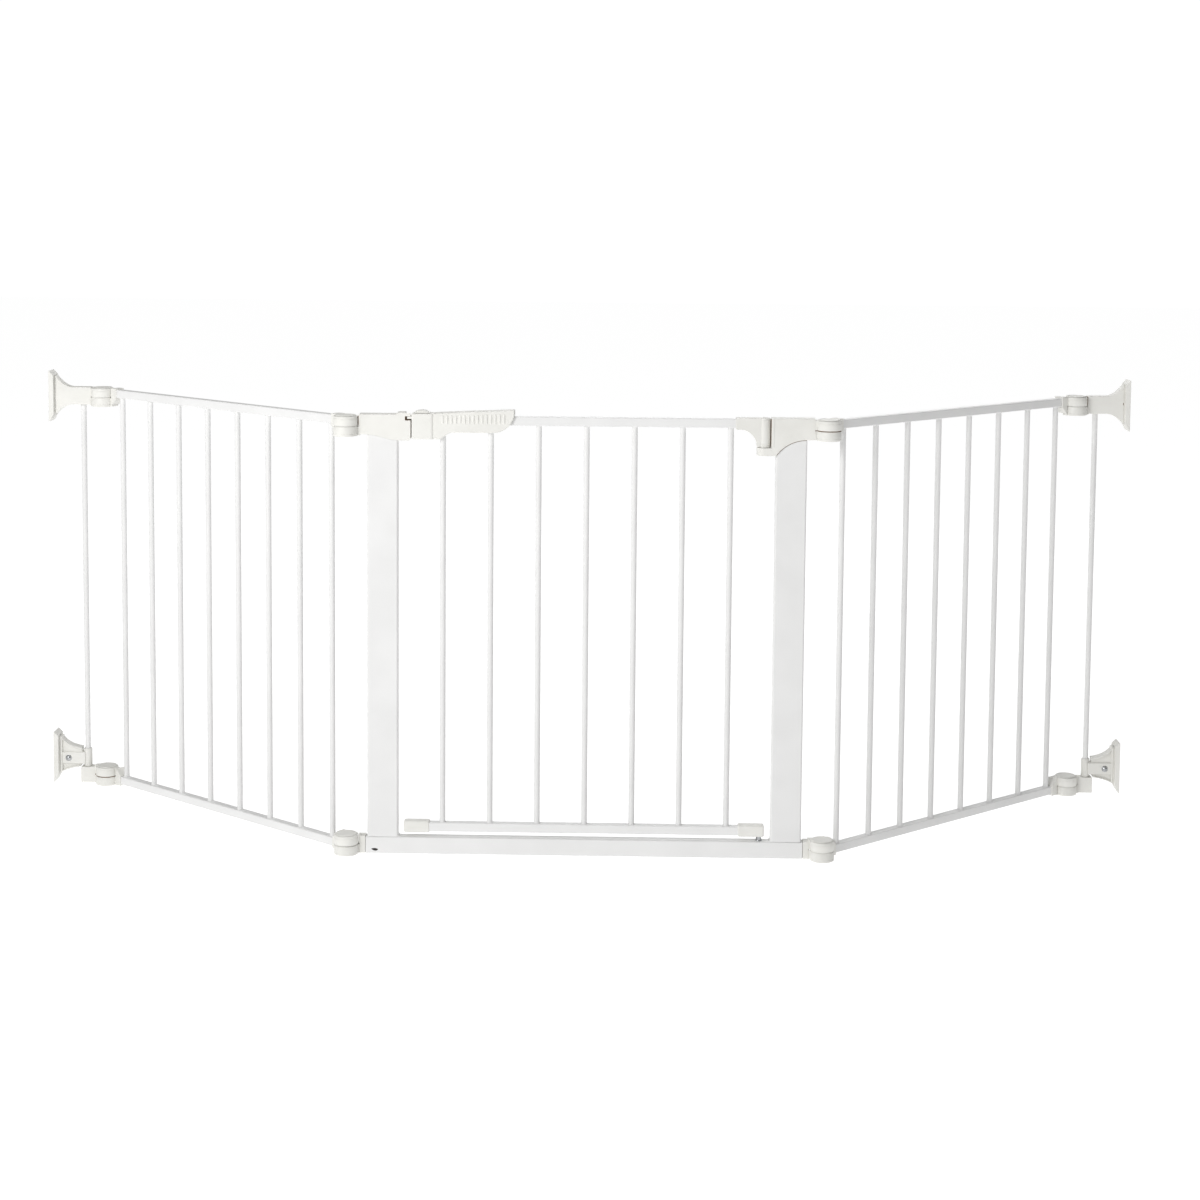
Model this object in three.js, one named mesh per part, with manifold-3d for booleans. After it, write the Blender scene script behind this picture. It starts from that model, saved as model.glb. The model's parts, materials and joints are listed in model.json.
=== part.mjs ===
// Configurable safety gate: a centre section with a swinging door, two folding side panels and
// two wall mounts. Millimetres, +Z up, X along the gate, -Y towards the room it stands in.
// The origin is on the floor under the middle of the threshold.

import * as THREE from 'three';
import Module from 'manifold-3d';
import { mergeVertices } from 'three/addons/utils/BufferGeometryUtils.js';

const wasm = await Module();
wasm.setup();

// ---------------------------------------------------------------- driving dimensions

const FRAME_HEIGHT = 718; // top of the upper hinge stacks
const HINGE_X = 386; // hinge axes of the centre section
const SET_BACK = 10.5; // bars and rails stand this far behind the hinge axes
const PANEL_SPAN = 616; // hinge axis to hinge axis along a side panel
const FOLD = { left: 38.4, right: 40.5 }; // rest angles, turned back from straight, degrees
const GAP = 0.3; // clearance between pieces that touch

const BAR_RADIUS = 4.75;
const BAR_SIDES = 12;
const RAIL = 14.4; // square rails of the panels and the door
const TUBE_WALL = 1.5;
const PANEL_RAIL_Z = { bottom: 3.2, top: 700.4 }; // undersides of a side panel's rails
const PANEL_BARS = 8;
const PANEL_BAR_INSET = 42.6; // first bar, from its hinge axis

// A hinge stack: a lower knuckle, a slit for the teeth, an upper knuckle and a cap.
const STACK_HEIGHT = 34;
const KNUCKLE_RADIUS = 19.75;
const KNUCKLE_HEIGHT = 15.4;
const CAP_HEIGHT = 1.8;
const HINGE_SIDES = 20;
const OPEN_COLLAR = 14.5; // collar radius where the slit stands open
const FULL_COLLAR = 18.9; // collar radius where the teeth nearly fill the slit
const OPEN_SLITS = ['left_near_bottom', 'right_near_top', 'left_far_bottom'];
const BOLT_BORE = 3.3;
const RECESS_RADIUS = 7.5;
const HEAD_RECESS = 6;
const NUT_RECESS = 5;

const ARM_START = 21.4; // block of a hinge arm, measured from its hinge axis
const ARM_END = 34.6;
const ARM_HALF_DEPTH = 9.2;

const POST = { inner: 302, outer: 352, depth: 19.5, foot: 27.8, top: 700 };
const BASE = { half: 355, height: 27.5, depth: 19.5 };
const BRACKET_END = HINGE_X - ARM_START; // post brackets stop at the knuckle's neck
const BRACKET_HALF_DEPTH = 12.4;

const KEEPER = { left: -304, right: -281.5, bottom: 677.1, top: 721.7 };
const NOTCH = { left: -290.3, floor: 709.5 };
const FINGER_BOTTOM = 716.1;

const SWING_X = 283.9; // axis of the door
const SEAT = { left: 272, bottom: 658, top: 670.9 };
const RIB_X = 295.5; // inner edge of the hinge post bracket
const PIN_RADIUS = 4;
const PIN_BORE = 4.35;
const FOOT_PIN_RADIUS = 3;
const FOOT_PIN_BORE = 3.4;

const DOOR_RAIL_Z = { bottom: 36.8, top: 702 };
const DOOR_TOP_RAIL = [-243.5, 262.5];
const DOOR_BOTTOM_RAIL = [-276, 270];
const DOOR_BARS = 7;
const DOOR_BAR_PITCH = 76.8;
const BARREL = { radius: 9.3, bottom: 671.6, top: 718.8 };
const SPRING_BORE = 7.6;
const SPRING_BORE_TOP = 700;

const HEAD = { left: -279.8, right: -243.8, bottom: 679.5, top: 720.5 };
const GRIP = { right: -115.5, top: 727, bottom: 690.5 };
const HANDLE_HALF_DEPTH = 14.5;
const HANDLE_WALL = 2.2;
const GRIP_RIBS = 15;
const GRIP_RIB_PITCH = 7;
const STEM = { left: -270, right: -264 };
const CATCH_TRAVEL = 7;

const ROD_X = 36.5; // mounting rod, outboard of the far hinge axis
const WALL_X = 95; // wall face, outboard of the far hinge axis
const PLATE_THICKNESS = 8.7;
const PLATE_HALF_WIDTH = 17.5;
const MOUNT_HALF_DEPTH = 9.75;
const HINGE_BLOCK_TOP = 29;
const SLEEVE = { radius: 6.7, bore: 5.1, bottom: 29.5, top: 62 };
const SCREW = { x: 70, z: 45 };
const MOUTH_X = WALL_X - PLATE_THICKNESS - GAP; // where a bracket meets its wall plate
const GROOVE = 1.4; // shadow groove around that joint

const FINISHES = {
  steel: { color: 0xf1f2f3, roughness: 0.45, metalness: 0 },
  plastic: { color: 0xf0efea, roughness: 0.5, metalness: 0 },
  zinc: { color: 0xb9bcc0, roughness: 0.35, metalness: 1 },
};

// ---------------------------------------------------------------- geometry helpers

// Joins equal corners, drops empty triangles and turns every face outwards.
function closed(geometry) {
  const bare = geometry.clone();
  bare.deleteAttribute('normal');
  bare.deleteAttribute('uv');
  const welded = mergeVertices(bare, 1e-4);
  const corners = welded.index.array;
  const position = welded.attributes.position;
  const [a, b, c] = [new THREE.Vector3(), new THREE.Vector3(), new THREE.Vector3()];
  const kept = [];
  let volume = 0;
  for (let i = 0; i < corners.length; i += 3) {
    const [p, q, r] = corners.slice(i, i + 3);
    if (p === q || q === r || p === r) continue;
    kept.push(p, q, r);
    a.fromBufferAttribute(position, p);
    b.fromBufferAttribute(position, q);
    c.fromBufferAttribute(position, r);
    volume += a.dot(b.cross(c));
  }
  if (volume < 0) kept.reverse();
  welded.setIndex(kept);
  return welded;
}

function toSolid(geometry) {
  const mesh = closed(geometry);
  return new wasm.Manifold(new wasm.Mesh({
    numProp: 3,
    vertProperties: new Float32Array(mesh.attributes.position.array),
    triVerts: new Uint32Array(mesh.index.array),
  }));
}

// One body from the pieces that are joined, less the pieces that are cut away.
function carve(joined, cutAway = []) {
  let solid = toSolid(joined[0]);
  for (const extra of joined.slice(1)) solid = solid.add(toSolid(extra));
  for (const space of cutAway) solid = solid.subtract(toSolid(space));
  const mesh = solid.getMesh();
  const geometry = new THREE.BufferGeometry();
  geometry.setAttribute('position', new THREE.BufferAttribute(mesh.vertProperties, 3));
  geometry.setIndex(new THREE.BufferAttribute(mesh.triVerts, 1));
  return geometry;
}

function block(x0, x1, y0, y1, z0, z1) {
  const box = new THREE.BoxGeometry(x1 - x0, y1 - y0, z1 - z0);
  return box.translate((x0 + x1) / 2, (y0 + y1) / 2, (z0 + z1) / 2);
}

function column(x, y, radius, z0, z1, sides = BAR_SIDES) {
  const cylinder = new THREE.CylinderGeometry(radius, radius, z1 - z0, sides);
  return cylinder.rotateX(Math.PI / 2).translate(x, y, (z0 + z1) / 2);
}

// A turned piece about an upright axis, from [radius, height] points.
function turned(points, x, y, sides) {
  const profile = points.map(([radius, height]) => new THREE.Vector2(radius, height));
  return new THREE.LatheGeometry(profile, sides).rotateX(Math.PI / 2).translate(x, y, 0);
}

// A front-view outline in X and Z, made solid from y0 to y1.
function slab(shape, y0, y1, curveSegments = 6) {
  const options = { depth: y1 - y0, bevelEnabled: false, curveSegments };
  return new THREE.ExtrudeGeometry(shape, options).rotateX(Math.PI / 2).translate(0, y1, 0);
}

function outline(points) {
  return new THREE.Shape(points.map(([x, z]) => new THREE.Vector2(x, z)));
}

// A rectangle with rounded corners, seen from above.
function roundedPlan(x0, x1, halfDepth, radius) {
  const [y0, y1] = [-halfDepth, halfDepth];
  const quarter = Math.PI / 2;
  const shape = new THREE.Shape();
  shape.moveTo(x0 + radius, y0);
  shape.absarc(x1 - radius, y0 + radius, radius, -quarter, 0);
  shape.absarc(x1 - radius, y1 - radius, radius, 0, quarter);
  shape.absarc(x0 + radius, y1 - radius, radius, quarter, 2 * quarter);
  shape.absarc(x0 + radius, y0 + radius, radius, 2 * quarter, 3 * quarter);
  return shape;
}

// A copy on the other side of the plane X = 0.
function mirrored(geometry) {
  return closed(closed(geometry).scale(-1, 1, 1));
}

function onSide(side, geometry) {
  return side === 'left' ? mirrored(geometry) : geometry;
}

class HelixCurve extends THREE.Curve {
  constructor(radius, pitch, turns) {
    super();
    Object.assign(this, { radius, pitch, turns });
  }

  getPoint(t, target = new THREE.Vector3()) {
    const angle = t * this.turns * 2 * Math.PI;
    const height = t * this.turns * this.pitch;
    return target.set(this.radius * Math.cos(angle), this.radius * Math.sin(angle), height);
  }
}

function coil(radius, wireRadius, pitch, turns, stepsPerTurn) {
  const wire = new THREE.Shape().absarc(0, 0, wireRadius, 0, 2 * Math.PI);
  const extrudePath = new HelixCurve(radius, pitch, turns);
  const steps = turns * stepsPerTurn;
  return new THREE.ExtrudeGeometry(wire, { steps, curveSegments: 3, extrudePath });
}

function piece(name, finish, geometry) {
  const mesh = new THREE.Mesh(closed(geometry), new THREE.MeshStandardMaterial(FINISHES[finish]));
  mesh.name = name;
  return mesh;
}

// Evenly spaced places, the middle of the row at `middle`.
function row(count, pitch, middle = 0) {
  return Array.from({ length: count }, (_, i) => middle + (i - (count - 1) / 2) * pitch);
}

// ---------------------------------------------------------------- hinge stacks

function stackFloor(level) {
  return level === 'top' ? FRAME_HEIGHT - STACK_HEIGHT : 0;
}

function knuckleRange(level, place) {
  const floor = stackFloor(level);
  const upperTop = floor + STACK_HEIGHT - CAP_HEIGHT;
  return place === 'upper'
    ? [upperTop - KNUCKLE_HEIGHT, upperTop]
    : [floor, floor + KNUCKLE_HEIGHT];
}

// The lower knuckle carries a collar that fills the slit between the two.
function knuckleProfile(hinge, level, place) {
  const [z0, z1] = knuckleRange(level, place);
  const r = KNUCKLE_RADIUS;
  if (place === 'upper') {
    return [
      [BOLT_BORE, z0], [r, z0], [r, z1], [RECESS_RADIUS, z1],
      [RECESS_RADIUS, z1 - HEAD_RECESS], [BOLT_BORE, z1 - HEAD_RECESS], [BOLT_BORE, z0],
    ];
  }
  const collar = OPEN_SLITS.includes(`${hinge}_${level}`) ? OPEN_COLLAR : FULL_COLLAR;
  const collarTop = knuckleRange(level, 'upper')[0] - GAP;
  const seat = z0 + NUT_RECESS;
  return [
    [BOLT_BORE, seat], [RECESS_RADIUS, seat], [RECESS_RADIUS, z0], [r, z0], [r, z1],
    [collar, z1], [collar, collarTop], [BOLT_BORE, collarTop], [BOLT_BORE, seat],
  ];
}

// Room for a bolt in whatever is joined to its knuckle.
function boltRoom(level, place, x, y) {
  const [z0, z1] = knuckleRange(level, place);
  const wide = place === 'upper'
    ? column(x, y, RECESS_RADIUS, z1 - HEAD_RECESS, z1 + 3, HINGE_SIDES)
    : column(x, y, RECESS_RADIUS, z0 - 3, z0 + NUT_RECESS, HINGE_SIDES);
  return [wide, column(x, y, BOLT_BORE, z0 - 3, z1 + 3, HINGE_SIDES)];
}

// A bracket body with its knuckle at (x, y) and the neck that joins the two along +X.
function withKnuckle(body, cuts, hinge, level, place, x = 0, y = 0, direction = 1) {
  const [z0, z1] = knuckleRange(level, place);
  const reach = [x + direction * 10, x + direction * (ARM_START + 0.6)];
  const neck = block(Math.min(...reach), Math.max(...reach), y + 2, y + 16, z0, z1);
  const knuckle = turned(knuckleProfile(hinge, level, place), x, y, HINGE_SIDES);
  return carve([knuckle, neck, ...body], [...cuts, ...boltRoom(level, place, x, y)]);
}

function hingeBolt(name, level, x) {
  const floor = stackFloor(level);
  const headBase = knuckleRange(level, 'upper')[1] - HEAD_RECESS + GAP;
  const nutTop = floor + NUT_RECESS - GAP;
  const shank = BOLT_BORE - GAP;
  const flat = 6.4;
  const profile = [
    [0, floor + 0.6], [flat, floor + 0.6], [flat, nutTop], [shank, nutTop],
    [shank, headBase], [flat, headBase], [flat, headBase + 4.2], [0, headBase + 4.2],
  ];
  return piece(name, 'zinc', turned(profile, x, 0, 12));
}

function hingeCap(name, level, x) {
  const seat = knuckleRange(level, 'upper')[1];
  const top = stackFloor(level) + STACK_HEIGHT;
  const plug = RECESS_RADIUS - 0.5;
  const profile = [
    [0, seat - 0.8], [plug, seat - 0.8], [plug, seat + GAP], [17.6, seat + GAP],
    [15.4, top], [0, top],
  ];
  return piece(name, 'plastic', turned(profile, x, 0, HINGE_SIDES));
}

// ---------------------------------------------------------------- side panels

// A panel's hinge arm: axis at x = 0, rail along +X and SET_BACK behind the axis.
function hingeArm(hinge, level, place) {
  const railZ = PANEL_RAIL_Z[level];
  const upright = level === 'top' ? (z) => z : (z) => FRAME_HEIGHT - z;
  const side = [
    [ARM_START, 717], [ARM_END, 717], [ARM_END, 698.4], [ARM_START + 1.1, 687.5],
    [ARM_START, 687.5],
  ];
  const shape = outline(side.map(([x, z]) => [x, upright(z)]));
  const body = slab(shape, SET_BACK - ARM_HALF_DEPTH, SET_BACK + ARM_HALF_DEPTH);
  const half = RAIL / 2 + GAP;
  const socket = block(
    ARM_START + 2.9, ARM_END + 1, SET_BACK - half, SET_BACK + half,
    railZ - GAP, railZ + RAIL + GAP,
  );
  return withKnuckle([body], [socket], hinge, level, place);
}

function weldedGrille(bottomRail, topRail, y, railZ, bars) {
  const half = RAIL / 2;
  const bite = 0.5; // how far a bar runs into each rail
  const rails = [
    block(...bottomRail, y - half, y + half, railZ.bottom, railZ.bottom + RAIL),
    block(...topRail, y - half, y + half, railZ.top, railZ.top + RAIL),
  ];
  const z0 = railZ.bottom + RAIL - bite;
  const z1 = railZ.top + bite;
  return carve([...rails, ...bars.map((x) => column(x, y, BAR_RADIUS, z0, z1))]);
}

function panelGrille(side) {
  const start = ARM_START + 2.9 + GAP;
  const rail = [start, PANEL_SPAN - start];
  const pitch = (PANEL_SPAN - 2 * PANEL_BAR_INSET) / (PANEL_BARS - 1);
  const bars = row(PANEL_BARS, pitch, PANEL_SPAN / 2);
  const geometry = weldedGrille(rail, rail, SET_BACK, PANEL_RAIL_Z, bars);
  return piece(`${side}_panel_grille`, 'steel', onSide(side, geometry));
}

// A side panel with its hinges and its wall mount, in a frame at the near hinge axis.
function sidePanel(side) {
  const direction = side === 'left' ? -1 : 1;
  const [nearPlace, farPlace] = side === 'left' ? ['upper', 'lower'] : ['lower', 'upper'];
  const group = new THREE.Group();
  group.position.set(direction * HINGE_X, -SET_BACK, 0);
  group.rotation.z = direction * THREE.MathUtils.degToRad(FOLD[side]);
  group.add(panelGrille(side));
  for (const level of ['top', 'bottom']) {
    const near = hingeArm(`${side}_near`, level, nearPlace);
    const far = mirrored(hingeArm(`${side}_far`, level, farPlace)).translate(PANEL_SPAN, 0, 0);
    const farX = direction * PANEL_SPAN;
    group.add(
      piece(`${side}_near_${level}_arm`, 'plastic', onSide(side, near)),
      piece(`${side}_far_${level}_arm`, 'plastic', onSide(side, far)),
      hingeBolt(`${side}_near_${level}_bolt`, level, 0),
      hingeBolt(`${side}_far_${level}_bolt`, level, farX),
      hingeCap(`${side}_near_${level}_cap`, level, 0),
      hingeCap(`${side}_far_${level}_cap`, level, farX),
    );
  }
  group.add(wallMount(side));
  return group;
}

// ---------------------------------------------------------------- centre section

function post(side) {
  const half = POST.depth / 2;
  const shape = roundedPlan(POST.inner, POST.outer, half, 3);
  const inner = roundedPlan(POST.inner + TUBE_WALL, POST.outer - TUBE_WALL, half - TUBE_WALL, 1.5);
  shape.holes.push(inner);
  const options = { depth: POST.top - POST.foot, bevelEnabled: false, curveSegments: 3 };
  const tube = new THREE.ExtrudeGeometry(shape, options).translate(0, 0, POST.foot);
  return piece(`${side}_post`, 'steel', onSide(side, tube));
}

function baseRail() {
  const half = BASE.depth / 2;
  const inside = half - TUBE_WALL;
  return piece('base_rail', 'steel', carve(
    [block(-BASE.half, BASE.half, -half, half, 0, BASE.height)],
    [
      block(-BASE.half - 1, BASE.half + 1, -inside, inside,
        TUBE_WALL, BASE.height - TUBE_WALL),
      column(SWING_X, 0, FOOT_PIN_BORE, BASE.height / 2, BASE.height + 1),
      block(-344.5, -335.5, -half - 1, 0, 4, 8),
    ],
  ));
}

// End of the threshold: a plug inside the tube, a block outside it and a knuckle.
function baseKnuckle(side, place) {
  const half = BASE.depth / 2;
  const inside = half - TUBE_WALL - GAP;
  const body = [
    block(BASE.half + GAP, BRACKET_END, -half, half, 0.5, 28.5),
    block(BASE.half - 14, BASE.half + 2, -inside, inside,
      TUBE_WALL + GAP, BASE.height - TUBE_WALL - GAP),
  ];
  const geometry = withKnuckle(
    body, [], `${side}_near`, 'bottom', place, HINGE_X, -SET_BACK, -1,
  );
  return piece(`${side}_base_knuckle`, 'plastic', onSide(side, geometry));
}

// Where a post stands inside its bracket.
function postRoom() {
  const half = POST.depth / 2 + GAP;
  return block(POST.inner - GAP, POST.outer + GAP, -half, half, 600, POST.top + GAP);
}

function latchPostBracket() {
  const shape = new THREE.Shape();
  shape.moveTo(-BRACKET_END, 686.8);
  shape.lineTo(-352, 686.3);
  shape.bezierCurveTo(-334, 686, -322, 679, -305.5, 677.9);
  shape.lineTo(KEEPER.left, KEEPER.bottom);
  shape.lineTo(KEEPER.right, KEEPER.bottom);
  shape.lineTo(KEEPER.right, NOTCH.floor);
  shape.lineTo(NOTCH.left, NOTCH.floor);
  shape.lineTo(NOTCH.left, KEEPER.top);
  shape.lineTo(KEEPER.left, KEEPER.top);
  shape.lineTo(KEEPER.left, 718.7);
  shape.lineTo(-BRACKET_END, 718.7);
  const depth = BRACKET_HALF_DEPTH;
  const body = [
    slab(shape, -depth, depth),
    block(NOTCH.left - 2, KEEPER.right, -depth, -7.8, FINGER_BOTTOM, KEEPER.top),
  ];
  const geometry = withKnuckle(
    body, [mirrored(postRoom())], 'left_near', 'top', 'lower', -HINGE_X, -SET_BACK, 1,
  );
  return piece('latch_post_bracket', 'plastic', geometry);
}

function hingePostBracket() {
  const arc = { x: 350.9, z: 625, radius: 59.1 };
  const arcEnd = Math.acos((301 - arc.x) / arc.radius);
  const shape = new THREE.Shape();
  shape.moveTo(BRACKET_END, 718.4);
  shape.lineTo(RIB_X, 718.4);
  shape.lineTo(RIB_X, SEAT.top);
  shape.lineTo(SEAT.left, SEAT.top);
  shape.lineTo(SEAT.left, SEAT.bottom);
  shape.absarc(arc.x, arc.z, arc.radius, arcEnd, Math.PI / 2, true);
  shape.lineTo(BRACKET_END, arc.z + arc.radius);
  const depth = BRACKET_HALF_DEPTH;
  const cuts = [
    postRoom(),
    column(SWING_X, 0, PIN_BORE, SEAT.bottom - 2, SEAT.top + 2, HINGE_SIDES),
  ];
  const geometry = withKnuckle(
    [slab(shape, -depth, depth, 8)], cuts, 'right_near', 'top', 'upper', HINGE_X, -SET_BACK, -1,
  );
  return piece('hinge_post_bracket', 'plastic', geometry);
}

function doorBottomPin() {
  const r = FOOT_PIN_RADIUS;
  const collar = [[r, 27.8], [4.5, 27.8], [4.5, 30.5], [r, 30.5]];
  const profile = [[0, 18], [r, 18], ...collar, [r, 48], [r - 1, 49], [0, 49]];
  return piece('door_bottom_pin', 'zinc', turned(profile, SWING_X, 0, 16));
}

// ---------------------------------------------------------------- door

function doorGrille() {
  const bars = row(DOOR_BARS, DOOR_BAR_PITCH);
  const geometry = weldedGrille(DOOR_BOTTOM_RAIL, DOOR_TOP_RAIL, 0, DOOR_RAIL_Z, bars);
  return piece('door_grille', 'steel', geometry);
}

function doorRailRoom(x0, x1, z) {
  const half = RAIL / 2 + GAP;
  return block(x0, x1, -half, half, z - GAP, z + RAIL + GAP);
}

function doorEndCaps() {
  const [left, right] = DOOR_BOTTOM_RAIL;
  const z = DOOR_RAIL_Z.bottom;
  const latchSide = carve(
    [block(-293, -251, -8.6, 8.6, 34.9, 53.9)],
    [doorRailRoom(left - GAP, -240, z)],
  );
  const hingeSide = carve(
    [block(249.6, 292, -8.6, 8.6, 34.9, 53.9)],
    [doorRailRoom(240, right + GAP, z), column(SWING_X, 0, FOOT_PIN_BORE, 30, 52, 16)],
  );
  return [
    piece('door_latch_end_cap', 'plastic', latchSide),
    piece('door_hinge_end_cap', 'plastic', hingeSide),
  ];
}

// Holds the top rail, curves down beside it and ends in the hinge barrel.
function doorHingeBracket() {
  const web = { x: 244, z: 672.2, radius: 27.4 };
  const shape = new THREE.Shape();
  shape.moveTo(SWING_X, 718.4);
  shape.lineTo(237.8, 718.4);
  shape.lineTo(237.8, web.z + web.radius);
  shape.absarc(web.x, web.z, web.radius, Math.PI / 2, 0, true);
  shape.lineTo(SWING_X - 4, web.z);
  shape.lineTo(SWING_X - 4, 716);
  const r = BARREL.radius;
  const barrel = turned([
    [0, BARREL.bottom], [r, BARREL.bottom], [r, 716.6], [r - 1.6, 718.2], [0, BARREL.top],
  ], SWING_X, 0, HINGE_SIDES);
  const geometry = carve(
    [barrel, slab(shape, -8.9, 8.9, 8)],
    [
      doorRailRoom(230, DOOR_TOP_RAIL[1] + 0.5, DOOR_RAIL_Z.top),
      column(SWING_X, 0, PIN_BORE, 600, 711, HINGE_SIDES),
      column(SWING_X, 0, SPRING_BORE, 600, SPRING_BORE_TOP, HINGE_SIDES),
    ],
  );
  return piece('door_hinge_bracket', 'plastic', geometry);
}

function doorTopPin() {
  const r = PIN_RADIUS;
  const profile = [[0, 658.8], [r, 658.8], [r, 709.8], [r - 0.7, 710.5], [0, 710.5]];
  return piece('door_top_pin', 'zinc', turned(profile, SWING_X, 0, HINGE_SIDES));
}

function closerSpring() {
  const geometry = coil(5.8, 0.8, 3.4, 7, 10).translate(SWING_X, 0, 673.4);
  return piece('closer_spring', 'zinc', geometry);
}

// ---------------------------------------------------------------- handle and latch

function handleOutline() {
  const shape = new THREE.Shape();
  shape.moveTo(HEAD.left, HEAD.bottom);
  shape.lineTo(HEAD.left, HEAD.top);
  shape.lineTo(HEAD.right, HEAD.top);
  shape.lineTo(HEAD.right, HEAD.top + 1.5);
  shape.lineTo(GRIP.right, GRIP.top);
  shape.lineTo(GRIP.right, GRIP.top - 8);
  shape.bezierCurveTo(-119, 703, -131, 691.5, -148, GRIP.bottom);
  shape.lineTo(-215, GRIP.bottom);
  shape.bezierCurveTo(-224, 690, -228, 680.5, -237, HEAD.bottom);
  return shape;
}

// Room inside the handle, the same for both shells.
function handleRoom() {
  const wall = HANDLE_WALL;
  const inside = HANDLE_HALF_DEPTH - wall;
  const rooms = [
    block(HEAD.left + wall, HEAD.right - wall, -inside, inside,
      HEAD.bottom + wall, HEAD.top - wall),
    doorRailRoom(HEAD.right - 3, -60, DOOR_RAIL_Z.top),
    block(STEM.left - 1, STEM.right + CATCH_TRAVEL + 1, -4.5, 4.5, HEAD.top - 5, HEAD.top + 5),
    block(HEAD.left - 5, HEAD.left + 5, -6.1, 6.1, 711.2, 716.2),
  ];
  for (const x of row(DOOR_BARS, DOOR_BAR_PITCH).slice(0, 2)) {
    rooms.push(column(x, 0, BAR_RADIUS + 0.5, HEAD.bottom - 9, DOOR_RAIL_Z.top + 1));
  }
  return rooms;
}

function handleShells() {
  const depth = HANDLE_HALF_DEPTH;
  const seam = GAP / 2;
  const ribPlaces = row(GRIP_RIBS, GRIP_RIB_PITCH, -181);
  const ribs = ribPlaces.map((x) => block(x - 1.3, x + 1.3, -depth - 0.8, -depth + 1, 704, 719.5));
  const front = carve([slab(handleOutline(), -depth, -seam), ...ribs], handleRoom());
  const back = carve([slab(handleOutline(), seam, depth)], handleRoom());
  return [
    piece('handle_front_shell', 'plastic', front),
    piece('handle_back_shell', 'plastic', back),
  ];
}

// The thumb slide: a low dome on top of the handle and a stem that reaches the bolt.
function thumbSlide() {
  const base = HEAD.top + 0.4;
  const shape = new THREE.Shape();
  shape.moveTo(-277, base);
  shape.quadraticCurveTo(-271, 723.6, -263.5, 724);
  shape.quadraticCurveTo(-256, 723.6, -250.8, base);
  const geometry = carve([
    slab(shape, -9, 9, 5),
    block(STEM.left, STEM.right, -4, 4, 708, base + 1),
  ]);
  return piece('thumb_slide', 'plastic', geometry);
}

function latchBolt() {
  const end = STEM.left - GAP;
  return piece('latch_bolt', 'plastic', block(-287.5, end, -5.5, 5.5, 711.8, 715.4));
}

function latchSpring() {
  const turns = 5;
  const length = HEAD.right - HANDLE_WALL - STEM.right - 3;
  const geometry = coil(2.8, 0.5, length / turns, turns, 8);
  geometry.rotateY(Math.PI / 2).translate(STEM.right + 1.4, 0, 712);
  return piece('latch_spring', 'zinc', geometry);
}

// ---------------------------------------------------------------- wall mounts

// A plate against the wall; its edges are chamfered on the room side.
function wallPlate(name, wallHeights, innerHeights) {
  const inner = WALL_X - PLATE_THICKNESS;
  const [w0, w1] = wallHeights;
  const [i0, i1] = innerHeights;
  const shape = outline([[WALL_X, w0], [WALL_X, w1], [inner, i1], [inner, i0]]);
  const y0 = SET_BACK - PLATE_HALF_WIDTH;
  const y1 = SET_BACK + PLATE_HALF_WIDTH;
  return piece(name, 'plastic', slab(shape, y0, y1));
}

// The heel of a bracket, set in by the groove.
function heel(z0, z1) {
  const half = MOUNT_HALF_DEPTH - 1.5;
  const x0 = MOUTH_X - GROOVE - 1;
  return block(x0, MOUTH_X, SET_BACK - half, SET_BACK + half, z0 + 2, z1 - 2);
}

// Top bracket: flares from the hinge knuckle to the wall plate.
function topWallBracket(side, place) {
  const mouth = MOUTH_X - GROOVE;
  const shape = new THREE.Shape();
  shape.moveTo(ARM_START, 686);
  shape.lineTo(55, 686);
  shape.bezierCurveTo(68, 685, 77, 677, mouth, 669);
  shape.lineTo(mouth, 737.5);
  shape.bezierCurveTo(77, 728, 68, 718.5, 55, 717);
  shape.lineTo(ARM_START, 717);
  const half = MOUNT_HALF_DEPTH;
  const body = [slab(shape, SET_BACK - half, SET_BACK + half), heel(669, 737.5)];
  const rodRoom = column(ROD_X, SET_BACK, BAR_RADIUS + GAP, 680, 706, 16);
  return withKnuckle(body, [rodRoom], `${side}_far`, 'top', place);
}

function hingeBlock(side, place) {
  const half = MOUNT_HALF_DEPTH;
  const body = block(ARM_START, 48, SET_BACK - half, SET_BACK + half, 1, HINGE_BLOCK_TOP);
  const rodRoom = column(ROD_X, SET_BACK, BAR_RADIUS + GAP, 10, HINGE_BLOCK_TOP + 2, 16);
  return withKnuckle([body], [rodRoom], `${side}_far`, 'bottom', place);
}

function mountingRod() {
  return column(ROD_X, SET_BACK, BAR_RADIUS, 10.4, 705.6, 16);
}

// One gusset above or below the bottom bracket's arm, pocketed from the front and the back.
function gusset(start, mouthZ, armZ) {
  const mouth = MOUTH_X - GROOVE;
  const [x0, z0] = start;
  const inward = Math.sign(armZ - z0);
  const edge = (inset) => {
    const dz = inward * inset;
    const shape = new THREE.Shape();
    shape.moveTo(x0 + inset, armZ);
    shape.lineTo(x0 + inset, z0 + dz);
    shape.quadraticCurveTo(mouth - 10, z0 - inward * 4 + dz, mouth, mouthZ + dz * 1.5);
    shape.lineTo(mouth, armZ);
    return shape;
  };
  const half = MOUNT_HALF_DEPTH;
  const pocket = edge(2.2);
  return carve([slab(edge(0), SET_BACK - half, SET_BACK + half)], [
    slab(pocket, SET_BACK - half - 1, SET_BACK - half + 4),
    slab(pocket, SET_BACK + half - 4, SET_BACK + half + 1),
  ]);
}

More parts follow.
